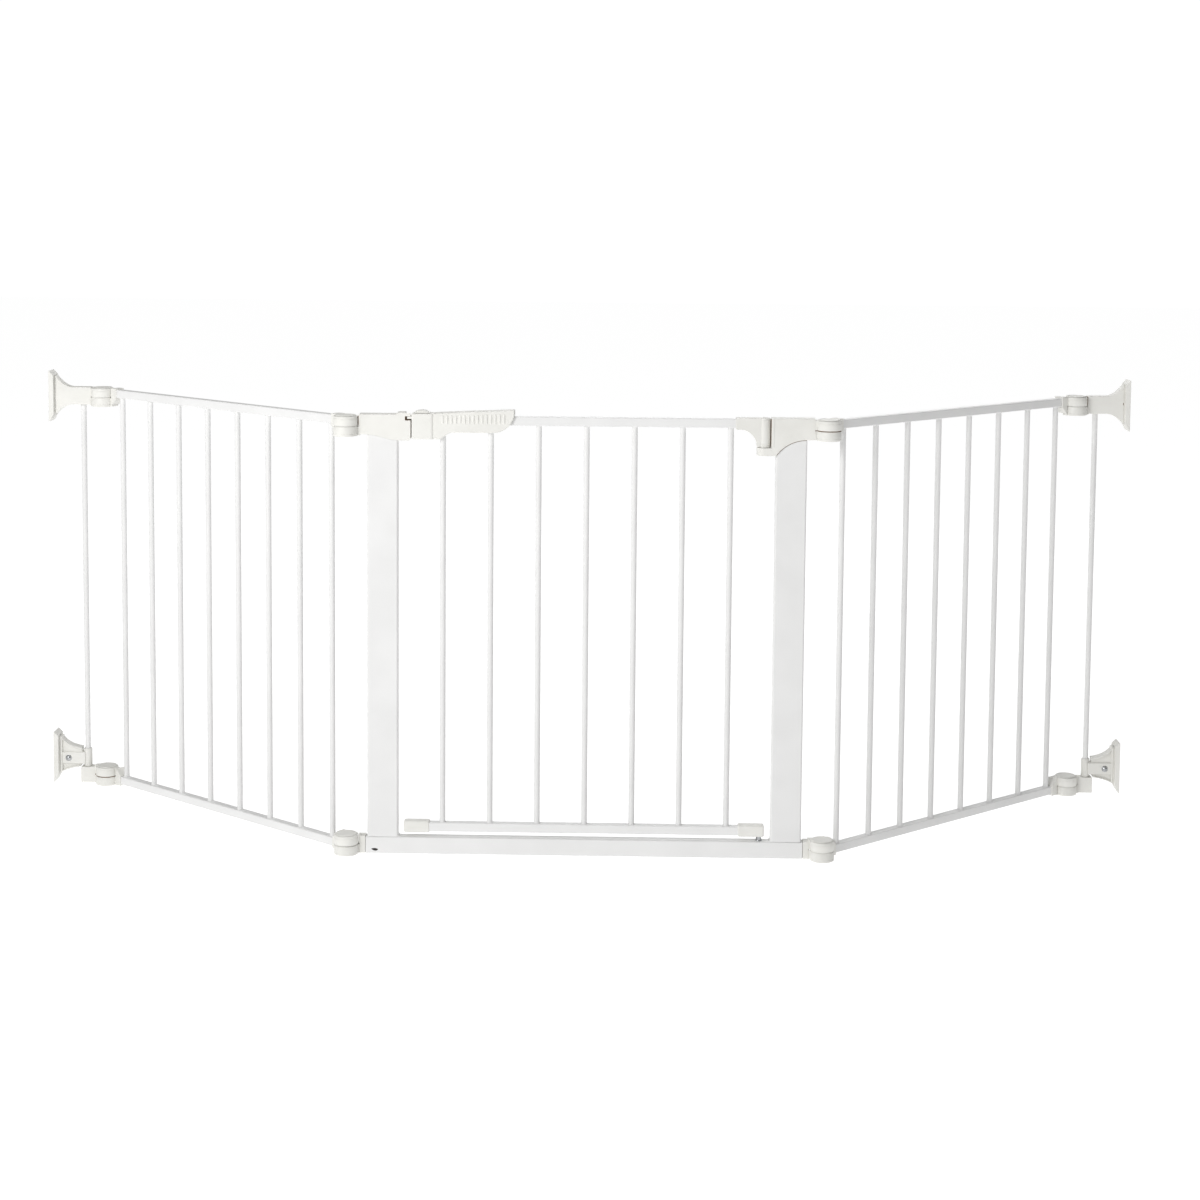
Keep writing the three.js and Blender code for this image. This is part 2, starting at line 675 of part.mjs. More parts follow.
// Bottom bracket: a sleeve on the rod, a box arm and a gusset above and below it.
function bottomWallBracket() {
  const [armBottom, armTop] = [34.5, 55.5];
  const screwHole = new THREE.CylinderGeometry(2.4, 2.4, 12, 12).translate(SCREW.x, 7, SCREW.z);
  const bore = column(ROD_X, SET_BACK, SLEEVE.bore, 20, 80, 16);
  return carve(
    [
      column(ROD_X, SET_BACK, SLEEVE.radius, SLEEVE.bottom, SLEEVE.top, 16),
      block(40, MOUTH_X - GROOVE, 2, 19, armBottom, armTop),
      gusset([46, 64], 86, armTop + 0.01),
      gusset([48.8, 29.6], 18, armBottom - 0.01),
      heel(19, 85),
    ],
    [bore, screwHole],
  );
}

// Round-headed screw that clamps the bottom bracket on its rod.
function bracketScrew() {
  const profile = [[0, -9], [2, -9], [2, GAP], [4.3, GAP], [3.6, 2.2], [2, 3.2], [0, 3.4]];
  const points = profile.map(([radius, height]) => new THREE.Vector2(radius, height));
  return new THREE.LatheGeometry(points, 12).rotateX(Math.PI).translate(SCREW.x, 2, SCREW.z);
}

// Everything beyond a side panel's far hinge, in a frame at that hinge's axis.
function wallMount(side) {
  const direction = side === 'left' ? -1 : 1;
  const place = side === 'left' ? 'upper' : 'lower';
  const group = new THREE.Group();
  group.position.set(direction * PANEL_SPAN, 0, 0);
  group.rotation.z = -direction * THREE.MathUtils.degToRad(FOLD[side]);
  group.add(
    piece(`${side}_top_wall_bracket`, 'plastic', topWallBracket(side, place)),
    wallPlate(`${side}_top_wall_plate`, [656, 746], [668.5, 738]),
    piece(`${side}_mounting_rod`, 'steel', mountingRod()),
    piece(`${side}_hinge_block`, 'plastic', hingeBlock(side, place)),
    piece(`${side}_bottom_wall_bracket`, 'plastic', bottomWallBracket()),
    wallPlate(`${side}_bottom_wall_plate`, [3, 94], [17, 87]),
    piece(`${side}_bracket_screw`, 'zinc', bracketScrew()),
  );
  for (const mesh of group.children) mesh.geometry = onSide(side, mesh.geometry);
  return group;
}

// ---------------------------------------------------------------- assembly

const gate = new THREE.Group();
gate.add(
  post('left'),
  post('right'),
  baseRail(),
  latchPostBracket(),
  hingePostBracket(),
  baseKnuckle('left', 'lower'),
  baseKnuckle('right', 'upper'),
  doorBottomPin(),
  doorTopPin(),
  doorGrille(),
  ...doorEndCaps(),
  doorHingeBracket(),
  closerSpring(),
  ...handleShells(),
  thumbSlide(),
  latchBolt(),
  latchSpring(),
  sidePanel('left'),
  sidePanel('right'),
);

export default gate;
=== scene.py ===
import json
import math

import bmesh
import bpy
from mathutils import Matrix, Vector


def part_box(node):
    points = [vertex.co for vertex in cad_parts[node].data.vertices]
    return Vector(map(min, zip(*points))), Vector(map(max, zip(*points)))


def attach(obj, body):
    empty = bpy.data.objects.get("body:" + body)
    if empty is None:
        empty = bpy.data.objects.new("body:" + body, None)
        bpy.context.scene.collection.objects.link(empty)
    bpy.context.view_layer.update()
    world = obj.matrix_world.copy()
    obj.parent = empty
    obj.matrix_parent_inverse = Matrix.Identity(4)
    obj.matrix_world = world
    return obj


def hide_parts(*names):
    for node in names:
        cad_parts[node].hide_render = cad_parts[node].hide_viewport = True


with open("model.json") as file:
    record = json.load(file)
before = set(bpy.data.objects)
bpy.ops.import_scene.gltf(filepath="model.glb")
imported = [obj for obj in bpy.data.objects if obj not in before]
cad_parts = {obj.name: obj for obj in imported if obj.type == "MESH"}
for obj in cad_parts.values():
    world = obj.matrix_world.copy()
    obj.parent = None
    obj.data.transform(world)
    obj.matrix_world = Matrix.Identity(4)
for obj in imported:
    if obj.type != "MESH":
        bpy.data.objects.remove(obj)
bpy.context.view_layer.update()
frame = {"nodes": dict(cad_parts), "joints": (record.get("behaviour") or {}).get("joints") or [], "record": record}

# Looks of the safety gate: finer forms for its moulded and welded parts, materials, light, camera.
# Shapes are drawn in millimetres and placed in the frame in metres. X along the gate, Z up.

JOINTS = {joint["name"]: joint for joint in frame["joints"]}
MM = 0.001
SIDES = ("left", "right")
LEVELS = ("top", "bottom")

# ---------------------------------------------------------------- dimensions, from the frame


def box_mm(node):
    """Lowest and highest corner of a CAD node, in millimetres."""
    low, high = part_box(node)
    return low / MM, high / MM


def joint_xy(name):
    """Where an upright joint axis stands, in millimetres."""
    return Vector(JOINTS[name]["pos_m"][:2]) / MM


NEAR = {side: joint_xy(f"{side}_fold") for side in SIDES}
FAR = {side: joint_xy(f"{side}_wall_swivel") for side in SIDES}
SPAN = (FAR["left"] - NEAR["left"]).length
FOLD = {
    side: math.atan2(FAR[side].y - NEAR[side].y, abs(FAR[side].x - NEAR[side].x)) for side in SIDES
}
HINGE_X = NEAR["right"].x
AXIS_Y = NEAR["right"].y
SET_BACK = -AXIS_Y
SWING_X = joint_xy("door_swing").x
FRAME_HEIGHT = box_mm("left_near_top_cap")[1].z
STACK = box_mm("left_near_bottom_cap")[1].z
KNUCKLE_RADIUS = 19.75
KNUCKLE_HEIGHT = 15.4
CAP_HEIGHT = 1.8
RAIL = 14.4
BAR_RADIUS = 4.75
ARM_START = 21.4  # from a hinge axis to the flat face of the block beside it
ARM_END = 34.6
ARM_HALF = 9.2
BRACKET_TOP = 718.4
BRACKET_HALF = 12.4

# ---------------------------------------------------------------- places


def turned_place(x, y, angle, mirror=False):
    """A frame at (x, y) millimetres, turned about +Z, and mirrored in its own X if asked."""
    place = Matrix.Translation((x * MM, y * MM, 0)) @ Matrix.Rotation(angle, 4, "Z")
    return place @ Matrix.Scale(-1, 4, (1, 0, 0)) if mirror else place


HERE = Matrix.Identity(4)
MIRRORED = Matrix.Scale(-1, 4, (1, 0, 0))
PANEL = {
    "left": turned_place(*NEAR["left"], -FOLD["left"], mirror=True),
    "right": turned_place(*NEAR["right"], FOLD["right"]),
}
PANEL_FAR = {side: PANEL[side] @ Matrix.Translation((SPAN * MM, 0, 0)) @ MIRRORED for side in SIDES}
MOUNT = {
    "left": turned_place(*FAR["left"], 0, mirror=True),
    "right": turned_place(*FAR["right"], 0),
}
CENTRE_SIDE = {"left": MIRRORED, "right": HERE}

# ---------------------------------------------------------------- materials


def new_material(name):
    material = bpy.data.materials.new(name)
    material.use_nodes = True
    return material, material.node_tree, material.node_tree.nodes["Principled BSDF"]


def noise(tree, scale, detail=2.0):
    """Noise in object space, so it doesn't depend on a piece's UVs."""
    coordinate = tree.nodes.new("ShaderNodeTexCoord")
    texture = tree.nodes.new("ShaderNodeTexNoise")
    texture.inputs["Scale"].default_value = scale
    texture.inputs["Detail"].default_value = detail
    tree.links.new(coordinate.outputs["Object"], texture.inputs["Vector"])
    return texture.outputs["Fac"]


def tint(tree, shader, factor, dark, light):
    """Base colour that wanders between two close shades."""
    ramp = tree.nodes.new("ShaderNodeValToRGB")
    ramp.color_ramp.elements[0].position = 0.35
    ramp.color_ramp.elements[1].position = 0.65
    ramp.color_ramp.elements[0].color = (*dark, 1)
    ramp.color_ramp.elements[1].color = (*light, 1)
    tree.links.new(factor, ramp.inputs["Fac"])
    tree.links.new(ramp.outputs["Color"], shader.inputs["Base Color"])


def vary_roughness(tree, shader, factor, low, high):
    spread = tree.nodes.new("ShaderNodeMapRange")
    spread.inputs["To Min"].default_value = low
    spread.inputs["To Max"].default_value = high
    tree.links.new(factor, spread.inputs["Value"])
    tree.links.new(spread.outputs["Result"], shader.inputs["Roughness"])


def bump(tree, shader, height, distance, strength):
    node = tree.nodes.new("ShaderNodeBump")
    node.inputs["Distance"].default_value = distance
    node.inputs["Strength"].default_value = strength
    tree.links.new(height, node.inputs["Height"])
    tree.links.new(node.outputs["Normal"], shader.inputs["Normal"])


def powder_coat():
    """Cool white powder coat: a faint orange peel and a soft sheen."""
    material, tree, shader = new_material("powder_coat_white")
    tint(tree, shader, noise(tree, 14), (0.762, 0.761, 0.755), (0.792, 0.791, 0.785))
    vary_roughness(tree, shader, noise(tree, 220), 0.30, 0.42)
    bump(tree, shader, noise(tree, 700, 3), 0.00015, 0.5)
    return material


def moulded_plastic():
    """Warm white plastic with a fine eroded texture."""
    material, tree, shader = new_material("moulded_plastic_white")
    tint(tree, shader, noise(tree, 30), (0.75, 0.743, 0.705), (0.785, 0.778, 0.742))
    vary_roughness(tree, shader, noise(tree, 500), 0.38, 0.52)
    bump(tree, shader, noise(tree, 1900, 3), 0.00008, 0.6)
    return material


def zinc_plate():
    material, tree, shader = new_material("zinc_plate")
    tint(tree, shader, noise(tree, 120), (0.34, 0.35, 0.36), (0.54, 0.55, 0.56))
    shader.inputs["Metallic"].default_value = 1.0
    vary_roughness(tree, shader, noise(tree, 900), 0.18, 0.34)
    bump(tree, shader, noise(tree, 3000), 0.00002, 0.3)
    return material


def soft_dark(name, dark, light):
    """Matt dark material for painted shade: pieces set in gaps, slits, seams and holes, coloured dark where only
    shade falls.
    """
    material, tree, shader = new_material(name)
    tint(tree, shader, noise(tree, 200), dark, light)
    vary_roughness(tree, shader, noise(tree, 900), 0.6, 0.8)
    bump(tree, shader, noise(tree, 2600), 0.00005, 0.4)
    return material


STEEL = powder_coat()
PLASTIC = moulded_plastic()
ZINC = zinc_plate()
# Painted shade: dark brown for gaps, slits and seams, near-black for holes and slots.
GAP_SHADE = soft_dark("painted_gap_shade", (0.11, 0.058, 0.024), (0.17, 0.092, 0.04))
RECESS_SHADE = soft_dark("painted_recess_shade", (0.018, 0.016, 0.015), (0.04, 0.034, 0.03))
SLOT_MATERIAL = {"powder_coat": STEEL, "plastic": PLASTIC, "zinc": ZINC}

# ---------------------------------------------------------------- mesh tools


def add_piece(name, bm, body, slot, place=HERE, replaces=(), bevel=0.0, segments=3, material=None):
    """Turns a millimetre bmesh into a piece that rides on a body, with rounded edges."""
    bmesh.ops.transform(bm, matrix=place @ Matrix.Scale(MM, 4), verts=bm.verts)
    bmesh.ops.recalc_face_normals(bm, faces=bm.faces)
    if bevel:
        sharp = [e for e in bm.edges if e.is_manifold and e.calc_face_angle() > math.radians(38)]
        bmesh.ops.bevel(bm, geom=sharp, offset=bevel * MM, segments=segments, profile=0.5,
                        affect="EDGES", clamp_overlap=True)
    mesh = bpy.data.meshes.new(name)
    bm.to_mesh(mesh)
    bm.free()
    mesh.shade_smooth()
    mesh.set_sharp_from_angle(angle=math.radians(42))
    mesh.materials.append(material or SLOT_MATERIAL[slot])
    piece = bpy.data.objects.new(name, mesh)
    bpy.context.scene.collection.objects.link(piece)
    if bevel:
        piece.modifiers.new("flat_faces", "WEIGHTED_NORMAL").keep_sharp = True
    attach(piece, body)
    if replaces:
        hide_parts(*replaces)
    return piece


def arc(cx, cz, radius, start, end, steps=16):
    """Points along a circular arc, angles in degrees."""
    angles = [math.radians(start + (end - start) * i / steps) for i in range(steps + 1)]
    return [(cx + radius * math.cos(a), cz + radius * math.sin(a)) for a in angles]


def curve(points, steps=14):
    """Points along a quadratic or cubic Bezier curve."""
    def at(t):
        left = [Vector(p) for p in points]
        while len(left) > 1:
            left = [a.lerp(b, t) for a, b in zip(left, left[1:])]
        return tuple(left[0])
    return [at(i / steps) for i in range(steps + 1)]


def distinct(points):
    """The outline without points that repeat their neighbour."""
    kept = [p for i, p in enumerate(points) if (Vector(p) - Vector(points[i - 1])).length > 0.02]
    return kept


def prism(points, low, high, axis="Y", bm=None):
    """A closed outline made solid along an axis. The outline is (x, z) for Y and (x, y) for Z."""
    bm = bm or bmesh.new()
    def corner(p, at):
        return (p[0], at, p[1]) if axis == "Y" else (p[0], p[1], at)
    outline = distinct(points)
    bottom = [bm.verts.new(corner(p, low)) for p in outline]
    top = [bm.verts.new(corner(p, high)) for p in outline]
    bm.faces.new(bottom)
    bm.faces.new(list(reversed(top)))
    for i in range(len(outline)):
        j = (i + 1) % len(outline)
        bm.faces.new((bottom[i], top[i], top[j], bottom[j]))
    return bm


def block(x0, x1, y0, y1, z0, z1, bm=None):
    return prism([(x0, z0), (x1, z0), (x1, z1), (x0, z1)], y0, y1, bm=bm)


def lathe(profile, x=0.0, y=0.0, sides=48, closed=False, bm=None):
    """A profile of (radius, height) points turned about an upright axis."""
    bm = bm or bmesh.new()
    rings = []
    for radius, height in profile:
        if radius < 1e-6:
            rings.append([bm.verts.new((x, y, height))])
            continue
        angles = [2 * math.pi * i / sides for i in range(sides)]
        ring = [(x + radius * math.cos(a), y + radius * math.sin(a), height) for a in angles]
        rings.append([bm.verts.new(point) for point in ring])
    pairs = list(zip(rings, rings[1:]))
    if closed:
        pairs.append((rings[-1], rings[0]))
    for a, b in pairs:
        for i in range(sides):
            j = (i + 1) % sides
            corners = [a[i % len(a)], a[j % len(a)], b[j % len(b)], b[i % len(b)]]
            bm.faces.new(list(dict.fromkeys(corners)))
    return bm


def rounded_rectangle(x0, x1, y0, y1, radius, steps=6):
    points = arc(x1 - radius, y1 - radius, radius, 0, 90, steps)
    points += arc(x0 + radius, y1 - radius, radius, 90, 180, steps)
    points += arc(x0 + radius, y0 + radius, radius, 180, 270, steps)
    return points + arc(x1 - radius, y0 + radius, radius, 270, 360, steps)


# ---------------------------------------------------------------- hinge stacks

OPEN_SLITS = ("left_near_bottom", "right_near_top", "left_far_bottom")
CHAMFER = 0.7
BORE = 3.3
RECESS = 7.5
TEETH = 36
SLIT_SHADE_STACKS = ("right_near_top", "left_far_bottom")
SHADED_CHEEK_STACKS = ("left_near_top", "left_near_bottom", "right_far_top", "right_far_bottom")


def stack_floor(level):
    return FRAME_HEIGHT - STACK if level == "top" else 0.0


def knuckle_range(level, place):
    floor = stack_floor(level)
    if place == "lower":
        return floor, floor + KNUCKLE_HEIGHT
    return floor + STACK - CAP_HEIGHT - KNUCKLE_HEIGHT, floor + STACK - CAP_HEIGHT


def rim_groove(radius, height):
    """A fine ring pressed into a round face."""
    return [(radius, height - 0.45), (radius - 0.4, height - 0.2), (radius - 0.4, height + 0.2),
            (radius, height + 0.45)]


def knuckle_mesh(hinge, level, place):
    """One knuckle with softened rims; the lower one carries the ring of locking teeth."""
    z0, z1 = knuckle_range(level, place)
    r, c = KNUCKLE_RADIUS, CHAMFER
    soft_bottom = [(r - c, z0), (r - 0.2, z0 + 0.3), (r, z0 + c)]
    soft_top = [(r, z1 - c), (r - 0.2, z1 - 0.3), (r - c, z1)]
    if place == "upper":
        inner = [(RECESS, z1), (RECESS, z1 - 6), (BORE, z1 - 6), (BORE, z0)]
        return lathe(soft_bottom + rim_groove(r, z1 - 4.2) + soft_top + inner, closed=True)
    collar = 14.5 if is_open(hinge, level) else 18.7
    slit_top = knuckle_range(level, "upper")[0] - 0.35
    crown = [(collar, z1), (collar, slit_top), (BORE, slit_top)]
    floor = [(BORE, z0 + 5), (RECESS, z0 + 5), (RECESS, z0)]
    bm = lathe(soft_bottom + rim_groove(r, z0 + 4.2) + soft_top + crown + floor, closed=True)
    if collar < 16 and f"{hinge}_{level}" not in SLIT_SHADE_STACKS:
        add_teeth(bm, collar - 0.4, 18.6, z1 - 0.1, z1 + 0.75)
    return bm


def is_open(hinge, level):
    return f"{hinge}_{level}" in OPEN_SLITS


def add_teeth(bm, inner, outer, z0, z1):
    """A ring of radial teeth on top of a lower knuckle."""
    half = math.pi / TEETH * 0.5
    for i in range(TEETH):
        a = 2 * math.pi * i / TEETH
        plan = []
        for radius, offset in ((inner, -half), (outer, -half), (outer, half), (inner, half)):
            plan.append((radius * math.cos(a + offset), radius * math.sin(a + offset)))
        prism(plan, z0, z1, axis="Z", bm=bm)


def add_knuckle(node, hinge, level, place_name, body, place, front):
    """A knuckle, the neck that joins it to its block, and the cheek beside the other knuckle."""
    add_piece(f"{node}_knuckle", knuckle_mesh(hinge, level, place_name), body, "plastic", place)
    z0, z1 = knuckle_range(level, place_name)
    neck = block(11, ARM_START + 1.6, front + 0.25, 16, z0 + 0.56, z1 - 0.4)
    add_piece(f"{node}_neck", neck, body, "plastic", place, bevel=0.5)
    other = "lower" if place_name == "upper" else "upper"
    z0, z1 = knuckle_range(level, other)
    start = KNUCKLE_RADIUS + 0.35
    cheek = block(start, ARM_START + 1.2, front + 0.5, front + 9, z0 + 0.3, z1 - 0.2)
    # On these stacks the bracket's cheek beside the lower knuckle is coloured dark brown: painted shade in the gap
    # between knuckle and block.
    shade_painted = place_name == "lower" and f"{hinge}_{level}" in SHADED_CHEEK_STACKS and "bracket" in node
    add_piece(f"{node}_cheek", cheek, body, "plastic", place, bevel=0.3, segments=1,
              material=GAP_SHADE if shade_painted else PLASTIC)
    if f"{hinge}_{level}" not in SLIT_SHADE_STACKS:
        return
    if place_name == "lower":
        add_slit_shade(node, level, body, place)
        return
    slit = knuckle_range(level, "lower")[1]
    # A small dark brown block at the slit's end: painted shade.
    dot = block(ARM_START - 1.5, ARM_START + 0.7, front - 0.08, front + 3, slit - 0.4, slit + 1.3)
    add_piece(f"{node}_slit_end_shade", dot, body, "plastic", place, bevel=0.4, material=GAP_SHADE)


def add_slit_shade(node, level, body, place):
    """A dark brown ring in the slit between two knuckles: painted shade in the slit."""
    z0, z1 = knuckle_range(level, "lower")[1] + 0.1, knuckle_range(level, "upper")[0] - 0.15
    inner, outer = 15.0, 19.2
    ring = [(inner, z0), (outer, z0), (outer, z1), (inner, z1)]
    add_piece(f"{node}_slit_shade", lathe(ring, closed=True), body, "plastic", place, material=GAP_SHADE)


def cap_profile(level):
    seat = stack_floor(level) + STACK - CAP_HEIGHT
    top = stack_floor(level) + STACK
    return [(0, seat + 0.3), (17.2, seat + 0.3), (17.6, seat + 0.6), (17.6, seat + 0.9),
            (17.1, top - 0.3), (16.3, top), (14.9, top), (14.5, top - 0.4), (0, top - 0.4)]


def add_cap(node, level, body, place):
    add_piece(f"{node}_disc", lathe(cap_profile(level)), body, "plastic", place, replaces=[node])


# ---------------------------------------------------------------- side panels


def arm_outline(level):
    upright = (lambda z: z) if level == "top" else (lambda z: FRAME_HEIGHT - z)
    side = [(ARM_START, 717), (ARM_END, 717), (ARM_END, 698.4), (ARM_START + 1.1, 687.5),
            (ARM_START, 687.5)]
    return [(x, upright(z)) for x, z in side]


def add_arm(side, end, level):
    node = f"{side}_{end}_{level}_arm"
    place = PANEL[side] if end == "near" else PANEL_FAR[side]
    upper = (side == "left") == (end == "near")
    body = f"{side}_panel"
    bm = prism(arm_outline(level), SET_BACK - ARM_HALF, SET_BACK + ARM_HALF)
    add_piece(f"{node}_block", bm, body, "plastic", place, replaces=[node], bevel=1.1)
    add_knuckle(node, f"{side}_{end}", level, "upper" if upper else "lower", body, place,
                SET_BACK - ARM_HALF)


def add_bar(bm, x, y, z0, z1, bead=True):
    """A round bar with a small weld bead at each end."""
    r = BAR_RADIUS
    lower = [(r + 1.3, z0), (r + 0.9, z0 + 0.45), (r + 0.25, z0 + 0.95), (r, z0 + 1.6)]
    upper = [(radius, z0 + z1 - z) for radius, z in reversed(lower)]
    profile = [(0, z0 - 1), (r, z0 - 1)] + lower + upper + [(r, z1 + 1), (0, z1 + 1)]
    return lathe(profile, x, y, sides=24, bm=bm)


def add_grille(node, body, place, rails, y, bars):
    """Two square rails with softened edges and the round bars between them."""
    half = RAIL / 2
    for label, (x0, x1, z0) in rails.items():
        bm = block(x0, x1, y - half, y + half, z0, z0 + RAIL)
        known = [node] if label == "top" else []
        add_piece(f"{node}_{label}_rail", bm, body, "powder_coat", place, replaces=known, bevel=1.5)
    bm = bmesh.new()
    for x in bars:
        add_bar(bm, x, y, rails["bottom"][2] + RAIL, rails["top"][2])
    add_piece(f"{node}_bars", bm, body, "powder_coat", place)


PANEL_BARS = 8
END_BAR_INSET = 42.6


def add_panel(side):
    pitch = (SPAN - 2 * END_BAR_INSET) / (PANEL_BARS - 1)
    start = ARM_START + 3.2
    rails = {"top": (start, SPAN - start, 700.4), "bottom": (start, SPAN - start, 3.2)}
    bars = [END_BAR_INSET + i * pitch for i in range(PANEL_BARS)]
    add_grille(f"{side}_panel_grille", f"{side}_panel", PANEL[side], rails, SET_BACK, bars)
    upper_near = f"{side}_panel" if side == "left" else "gate_frame"
    upper_far = f"{side}_wall_mount" if side == "left" else f"{side}_panel"
    for level in LEVELS:
        add_arm(side, "near", level)
        add_arm(side, "far", level)
        add_cap(f"{side}_near_{level}_cap", level, upper_near, PANEL[side])
        add_cap(f"{side}_far_{level}_cap", level, upper_far, PANEL_FAR[side])


# ---------------------------------------------------------------- centre section


def add_posts():
    for side in SIDES:
        low, high = box_mm(f"{side}_post")
        plan = rounded_rectangle(low.x, high.x, low.y, high.y, 3.0)
        bm = prism(plan, low.z, high.z, axis="Z")
        node = f"{side}_post"
        add_piece(f"{node}_tube", bm, "gate_frame", "powder_coat", replaces=[node], bevel=0.6)
        weld = [(302.3, 27.3)] + arc(298.4, 31.1, 3.6, 270, 360, 8) + [(302.3, 31.1)]
        bm = prism(weld, -8.2, 8.2)
        add_piece(f"{node}_weld", bm, "gate_frame", "powder_coat", CENTRE_SIDE[side])


def add_base_rail():
    low, high = box_mm("base_rail")
    bm = block(low.x, high.x, low.y, high.y, low.z, high.z)
    add_piece("base_rail_tube", bm, "gate_frame", "powder_coat", replaces=["base_rail"], bevel=1.6)
    slot = curve([(-345.5, 7.4), (-342, 9.6), (-336, 9.2), (-334.2, 6.6)])
    slot += curve([(-334.2, 6.6), (-337, 3.4), (-341, 3.8), (-345.5, 7.4)])
    # A near-black sheet in the slot's outline: painted shade of the slot's inside.
    bm = prism(slot, low.y - 0.12, low.y + 1)
    add_piece("base_rail_adjuster_slot_shade", bm, "gate_frame", "powder_coat", material=RECESS_SHADE)


def add_base_knuckle(side, place_name):
    node = f"{side}_base_knuckle"
    place = CENTRE_SIDE[side]
    half = 9.9
    bm = block(355.3, HINGE_X - ARM_START, -half, half, 0.5, 28.5)
    add_piece(f"{node}_block", bm, "gate_frame", "plastic", place, replaces=[node], bevel=0.8)
    knuckle_place = place @ turned_place(HINGE_X, AXIS_Y, 0, mirror=True)
    add_knuckle(node, f"{side}_near", "bottom", place_name, "gate_frame", knuckle_place,
                SET_BACK - half)


def latch_bracket_outline():
    arm_end = -(HINGE_X - ARM_START)
    points = [(arm_end, 718.7), (arm_end, 686.8), (-352, 686.3)]
    points += curve([(-350, 686.3), (-334, 686), (-322, 679), (-305.5, 677.9)])
    points += [(-304, 677.1)]
    points += arc(-285.5, 681.1, 4, 270, 360, 8)
    points += [(-281.5, 709.5), (-290.3, 709.5), (-290.3, 721.7)]
    points += arc(-301.5, 719.2, 2.5, 90, 180, 6)
    return points + [(-304, 718.7)]


def add_latch_bracket():
    """The latch post's head, the lip in front of the bolt, and dark brown painted shade in the keeper's gaps."""
    node = "latch_post_bracket"
    bm = prism(latch_bracket_outline(), -BRACKET_HALF, BRACKET_HALF)
    add_piece(f"{node}_body", bm, "gate_frame", "plastic", replaces=[node], bevel=1.1)
    finger = block(-292.5, -281.6, 0.06 - BRACKET_HALF, -10.6, 716.1, 721.6)
    add_piece(f"{node}_finger", finger, "gate_frame", "plastic", bevel=0.8)
    place = turned_place(-HINGE_X, AXIS_Y, 0)
    add_knuckle(node, "left_near", "top", "lower", "gate_frame", place, SET_BACK - BRACKET_HALF)
    # Dark brown sheets behind the bolt's gap and in the keeper's notch: painted shade.
    bolt_gap_shade = block(-281.7, -280.7, -9.5, 11, 682, 708.8)
    add_piece("keeper_bolt_gap_shade", bolt_gap_shade, "gate_frame", "plastic", material=GAP_SHADE)
    notch_shade = [(-290.4, 716), (-290.4, 709.4), (-281.6, 709.4), (-281.6, 710.2), (-289.7, 710.2),
              (-289.7, 716)]
    bm = prism(notch_shade, -11.6, 6)
    add_piece("keeper_notch_shade", bm, "gate_frame", "plastic", material=GAP_SHADE)
    back = block(-290.4, -281.6, 6, 11, 709.4, 716)
    add_piece("keeper_notch_shade_back", back, "gate_frame", "plastic", material=GAP_SHADE)


def add_hinge_bracket():
    """The hinge post's head: a plate cut away in an arc, the door's seat, and dark strips of painted shade along
    their seams.
    """
    depth = BRACKET_HALF
    node = "hinge_post_bracket"
    arc_x, arc_z, radius = 350.9, 625.0, 59.1
    start = math.degrees(math.acos((301 - arc_x) / radius))
    body_points = [(HINGE_X - ARM_START, BRACKET_TOP), (295.5, BRACKET_TOP), (295.5, 662)]
    body_points += arc(arc_x, arc_z, radius, start, 90, 20)
    body_points += [(HINGE_X - ARM_START, arc_z + radius)]
    bm = prism(body_points, -depth, depth)
    add_piece(f"{node}_body", bm, "gate_frame", "plastic", replaces=[node], bevel=1.1)
    edge = math.degrees(math.acos((303.5 - arc_x) / radius))
    # A thin dark brown band along the arc where the plate meets the post: painted shadow of the seam.
    seam = arc(arc_x, arc_z, radius + 0.3, edge, 90, 24)
    seam += arc(arc_x, arc_z, radius - 0.9, 90, edge, 24)
    seam_shade = prism(seam, -9.95, 9.95)
    add_piece(f"{node}_gasket", seam_shade, "gate_frame", "plastic", material=GAP_SHADE)
    # A dark brown strip behind the gap between barrel and rib: painted shade.
    barrel_shade_strip = block(293.75, 295.2, -4, 6, 672.5, 716)
    add_piece(f"{node}_strip", barrel_shade_strip, "gate_frame", "plastic", material=GAP_SHADE)
    rib = block(294.7, 299.3, -depth - 0.5, depth + 0.5, 671, 718.6)
    add_piece(f"{node}_rib", rib, "gate_frame", "plastic", bevel=0.9)
    seat_half = 12.34
    seat_plan = arc(SWING_X, 0, seat_half, 90, 270, 20) + [(298, -seat_half), (298, seat_half)]
    bm = prism(seat_plan, 658, 670.9, axis="Z")
    add_piece(f"{node}_seat", bm, "gate_frame", "plastic", bevel=1.2)
    place = turned_place(HINGE_X, AXIS_Y, 0, mirror=True)
    add_knuckle(node, "right_near", "top", "upper", "gate_frame", place, SET_BACK - depth)


# ---------------------------------------------------------------- door


DOOR_BARS = 7
DOOR_BAR_PITCH = 76.8


def add_door():
    bars = [(i - (DOOR_BARS - 1) / 2) * DOOR_BAR_PITCH for i in range(DOOR_BARS)]
    rails = {"top": (-243.5, 262.5, 702.0), "bottom": (-276.0, 270.0, 36.8)}
    add_grille("door_grille", "door", HERE, rails, 0, bars)
    for node in ("door_latch_end_cap", "door_hinge_end_cap"):
        low, high = box_mm(node)
        bm = block(low.x, high.x, low.y, high.y, low.z, high.z)
        add_piece(f"{node}_cover", bm, "door", "plastic", replaces=[node], bevel=2.9, segments=5)


def add_door_pin():
    """The pivot under the door, with a collar where it meets the base rail."""
    low, high = box_mm("door_bottom_pin")
    x, y = (low.x + high.x) / 2, (low.y + high.y) / 2
    r = (high.x - low.x) / 2
    collar = 27.5
    profile = [(0, low.z), (r, low.z), (r, collar), (r + 0.9, collar), (r + 0.9, collar + 1.0),
               (r + 0.6, collar + 1.4), (r, collar + 1.5), (r, high.z - 0.8), (r - 0.8, high.z),
               (0, high.z)]
    add_piece("door_pivot_pin", lathe(profile, x, y, 32), "gate_frame", "zinc",
              replaces=["door_bottom_pin"])


